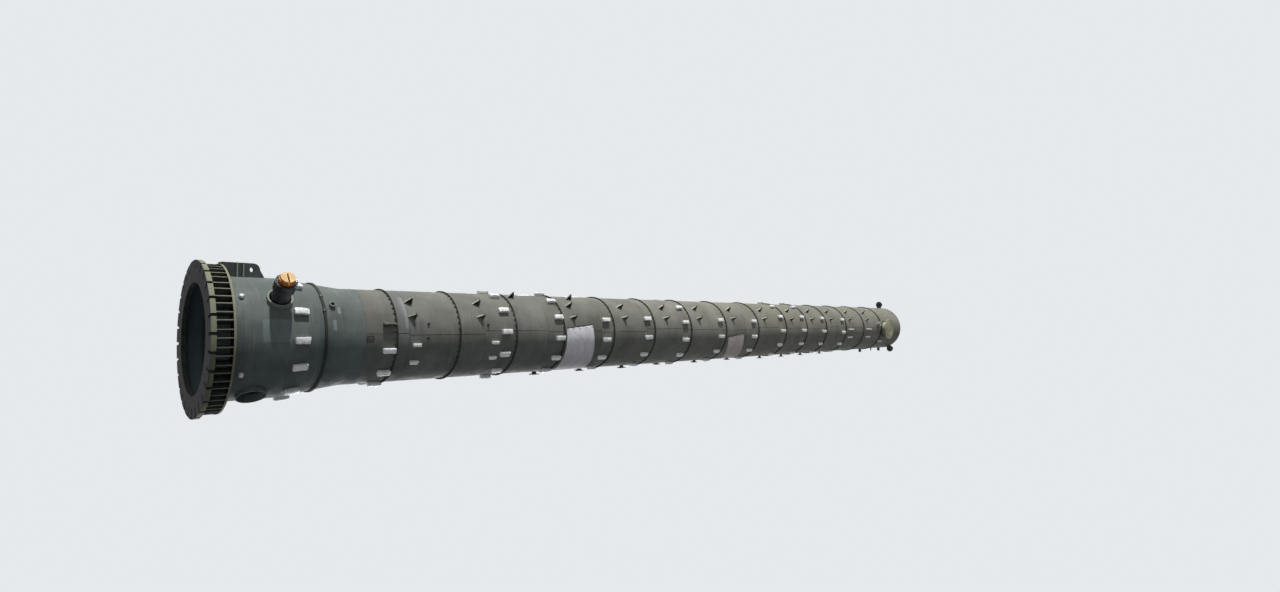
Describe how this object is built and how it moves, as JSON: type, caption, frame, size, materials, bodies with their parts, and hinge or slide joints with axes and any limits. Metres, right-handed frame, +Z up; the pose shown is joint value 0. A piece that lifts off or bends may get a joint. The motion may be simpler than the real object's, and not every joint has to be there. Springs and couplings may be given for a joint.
{
  "type": "distillation column scale model",
  "caption": "Tall welded distillation column on a flared skirt with anchor chairs, stiffening rings, wrapped platform clips, lifting trunnions and a side outlet.",
  "frame": {"origin": "centre of the base plate's underside, on the column axis", "axes": "+Z up the column axis from base plate to top head, -Y towards the near lifting trunnion, -X towards the tailing lug"},
  "size_m": [2.7216, 2.7339, 28.1672],
  "materials": {
    "grey_primer": "matt shop primer",
    "pale_primer": "matt shop primer",
    "dark_primer": "matt shop primer",
    "white_wrap": "stretch film wrap",
    "black_coating": "satin coating",
    "orange_cover": "moulded cover",
    "banner_vinyl": "matt vinyl sheet"
  },
  "bodies": {
    "root": {"base_plate": "pale_primer", "anchor_gussets": "grey_primer", "compression_ring": "pale_primer", "skirt_panel_1": "grey_primer", "skirt_panel_2": "grey_primer", "skirt_panel_3": "grey_primer", "skirt_panel_4": "grey_primer", "skirt_ring": "dark_primer", "skirt_vents": "pale_primer", "access_sleeve": "grey_primer", "outlet_sleeve": "pale_primer", "outlet_pipe": "black_coating", "outlet_flange": "black_coating", "outlet_cover": "orange_cover", "earthing_bosses": "pale_primer", "tailing_lug": "grey_primer", "bottom_head": "grey_primer", "shell_course_1": "grey_primer", "shell_course_2": "grey_primer", "shell_course_3": "grey_primer", "shell_course_4": "grey_primer", "shell_course_5": "grey_primer", "shell_course_6": "grey_primer", "top_head": "grey_primer", "lower_rings": "dark_primer", "middle_rings": "dark_primer", "upper_rings": "dark_primer", "skirt_clips": "white_wrap", "lower_clips": "white_wrap", "middle_clips": "white_wrap", "upper_clips": "white_wrap", "bare_clip": "grey_primer", "lower_cleats": "dark_primer", "middle_cleats": "dark_primer", "upper_cleats": "dark_primer", "lower_fittings": "white_wrap", "upper_fittings": "white_wrap", "near_trunnion": "pale_primer", "far_trunnion": "pale_primer", "trunnion_pads": "dark_primer", "top_nozzle": "pale_primer", "davit_sockets": "dark_primer", "side_brackets": "dark_primer", "lower_banner": "banner_vinyl", "upper_banner": "banner_vinyl"}
  },
  "joints": []
}
